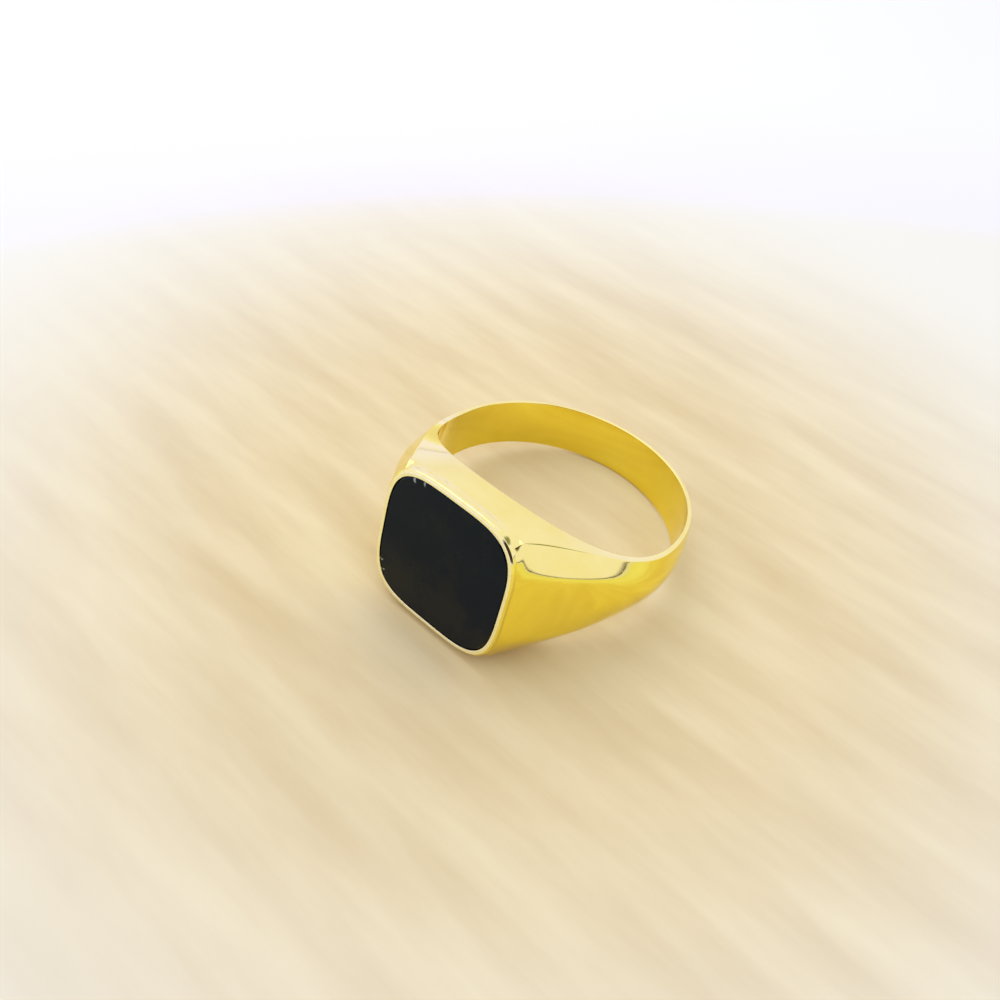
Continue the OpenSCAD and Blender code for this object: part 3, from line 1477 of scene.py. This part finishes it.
class Tent:
    """The tent round the floor: an even sky with dark cards in front of it."""

    def __init__(self, sky: Colour) -> None:
        """Pitch the tent.

        Args:
            sky: Colour of its light.
        """
        world = bpy.data.worlds.new("tent")
        world.use_nodes = True
        bpy.context.scene.world = world
        self.nodes = world.node_tree.nodes
        self.links = world.node_tree.links
        self.way = self.nodes.new("ShaderNodeTexCoord").outputs["Generated"]
        self.sky = sky
        self.hung = None

    def below(self, top: float) -> Socket:
        """Mark the lowest part of the tent.

        Args:
            top: Sine of the elevation at which the part ends.

        Returns:
            The mark, from 1 at the floor to 0 at the part's end.
        """
        split = self.nodes.new("ShaderNodeSeparateXYZ")
        self.links.new(self.way, split.inputs["Vector"])
        low = self.nodes.new("ShaderNodeMapRange")
        low.inputs["From Max"].default_value = top
        low.inputs["To Min"].default_value, low.inputs["To Max"].default_value = 1, 0
        self.links.new(split.outputs["Z"], low.inputs["Value"])
        return low.outputs["Result"]

    def hang(self, card: Card, within: Socket | None = None) -> None:
        """Hang a card in front of the sky and of the cards that are up.

        Args:
            card: The card.
            within: How much of the card shows, if not all of it does.
        """
        angle = self.nodes.new("ShaderNodeVectorMath")
        angle.operation = "DOT_PRODUCT"
        angle.inputs[1].default_value = card.direction
        self.links.new(self.way, angle.inputs[0])
        cover = self.nodes.new("ShaderNodeMapRange")
        cover.interpolation_type = "SMOOTHSTEP"
        cover.inputs["From Min"].default_value = math.cos(math.radians(card.outer))
        cover.inputs["From Max"].default_value = math.cos(math.radians(card.inner))
        self.links.new(angle.outputs["Value"], cover.inputs["Value"])
        if within:
            self.links.new(within, cover.inputs["To Max"])
        layer = self.nodes.new("ShaderNodeMix")
        layer.data_type = "RGBA"
        layer.inputs[UNDER].default_value = self.sky
        layer.inputs[OVER].default_value = card.shade
        self.links.new(cover.outputs["Result"], layer.inputs["Factor"])
        if self.hung:
            self.links.new(self.hung, layer.inputs[UNDER])
        self.hung = layer.outputs[BLENDED]

    def light(self) -> None:
        """Light the scene with the tent."""
        self.links.new(self.hung, self.nodes["Background"].inputs["Color"])


@dataclass
class Studio:
    """The pale floor, the tent with its blue-white light and dark cards, the soft lamp and the camera.

    Attributes:
        lie: How the ring lies on the table.
        azimuth: The camera's direction round the ring, in degrees.
        elevation: The camera's direction above the floor, in degrees.
        distance: The camera's distance, in metres.
        aim: What the camera looks at, from the middle of the finger hole, in metres.
        roll: How far the camera is tipped over sideways, in degrees.
        lens: Focal length of the camera, in millimetres.
        floor_half: Half width of the floor, in metres.
        floor_steps: Steps across the floor.
        sky: Colour of the tent's light, strongly blue against the gold's yellow.
        foot: The dark foot on one side of the tent.
        foot_top: Sine of the elevation at which the foot ends.
        cards: The dark cards above it.
        key_power: Power of the lamp, in watts.
        key_size: Width of the lamp, in metres.
        key_tint: Colour of the lamp's light.
        key_place: Where the lamp hangs, in metres.
    """

    lie: Lie
    azimuth: float = 36.517
    elevation: float = 45.786
    distance: float = 0.07688
    aim: Triple = (0.002928, -0.003005, -0.00055)
    roll: float = 7.857
    lens: float = 36.4
    floor_half: float = 3.0
    floor_steps: int = 4
    sky: Colour = (0.98, 1.0, 3.2, 1)
    foot: Card = Card(112, 0, 40, 62, (0.04, 0.035, 0.02, 1))
    foot_top: float = 0.045
    cards: tuple[Card, ...] = (
        Card(44, 26, 20, 31, (0.05, 0.04, 0.06, 1)),
        Card(150, 34, 4, 13, (0.28, 0.31, 0.45, 1)),
    )
    key_power: float = 0.38
    key_size: float = 0.26
    key_tint: Triple = (0.31, 0.31, 1.0)
    key_place: Triple = (-0.05, -0.12, 0.2)

    def add_camera(self) -> None:
        """Set the camera up."""
        back = towards(self.azimuth, self.elevation)
        right = (-back).cross(Vector((0, 0, 1))).normalized()
        up = back.cross(right)
        turn = math.radians(self.roll)
        tilted = right * math.cos(turn) + up * math.sin(turn)
        raised = up * math.cos(turn) - right * math.sin(turn)
        data = bpy.data.cameras.new("camera")
        data.lens = self.lens
        data.clip_start = MM
        camera = bpy.data.objects.new("camera", data)
        place = self.lie.place + Vector(self.aim) + back * self.distance
        camera.matrix_world = Matrix.Translation(place) @ Matrix((tilted, raised, back)).transposed().to_4x4()
        bpy.context.scene.collection.objects.link(camera)
        bpy.context.scene.camera = camera

    def add_floor(self) -> None:
        """Lay the floor under the ring."""
        bm, steps = bmesh.new(), self.floor_steps
        bmesh.ops.create_grid(bm, x_segments=steps, y_segments=steps, size=self.floor_half)
        mesh = bpy.data.meshes.new("floor")
        bm.to_mesh(mesh)
        bm.free()
        mesh.materials.append(PaleFloor().build("pale_floor"))
        floor = bpy.data.objects.new("floor", mesh)
        bpy.context.scene.collection.objects.link(floor)

    def add_tent(self) -> None:
        """Pitch the tent, with its dark foot and its cards."""
        tent = Tent(self.sky)
        tent.hang(self.foot, tent.below(self.foot_top))
        for card in self.cards:
            tent.hang(card)
        tent.light()

    def add_key(self) -> None:
        """Hang the soft lamp over the back left, turned towards the ring."""
        data = bpy.data.lights.new("soft_key", "AREA")
        data.shape = "DISK"
        data.size = self.key_size
        data.energy = self.key_power
        data.color = self.key_tint
        lamp = bpy.data.objects.new("soft_key", data)
        lamp.location = self.key_place
        lamp.rotation_euler = (-Vector(self.key_place)).to_track_quat("-Z", "Y").to_euler()
        bpy.context.scene.collection.objects.link(lamp)

    def build(self) -> None:
        """Set the whole studio up."""
        self.add_camera()
        self.add_floor()
        self.add_tent()
        self.add_key()
        bpy.context.scene.view_settings.view_transform = "Standard"


@dataclass
class HiddenPieces:
    """The CAD nodes under the stone, which keep their meshes and get their finishes.

    Attributes:
        nodes: The frame's objects, by node.
        finishes: The finish of each hidden node.
    """

    nodes: dict[str, bpy.types.Object]
    finishes: dict[str, bpy.types.Material]

    def dress(self) -> None:
        """Give each node its material."""
        for name, material in self.finishes.items():
            mesh = self.nodes[name].data
            mesh.materials.clear()
            mesh.materials.append(material)
            LOG.info("%s: kept from the frame", name)


def main() -> None:
    """Build the ring piece by piece round the frame."""
    logging.basicConfig(level=logging.INFO)
    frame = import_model()
    lie = Lie.from_record(frame["record"])
    form, polish = RingForm(), Polish()
    gold = Gold().build("polished_gold")
    HeadPiece(form, polish).build(lie.matrix, gold)
    ShankPiece(form, polish).build(lie.matrix, gold)
    RimPiece(form).build(lie.matrix, RimGold().build("rim_gold"))
    StonePiece(form).build(lie.matrix, Onyx().build("black_onyx"))
    hidden = {"stone_tray": gold, "cement_bed": Cement().build("setting_cement")}
    HiddenPieces(frame["nodes"], hidden).dress()
    Studio(lie).build()


if __name__ == "__main__":
    main()
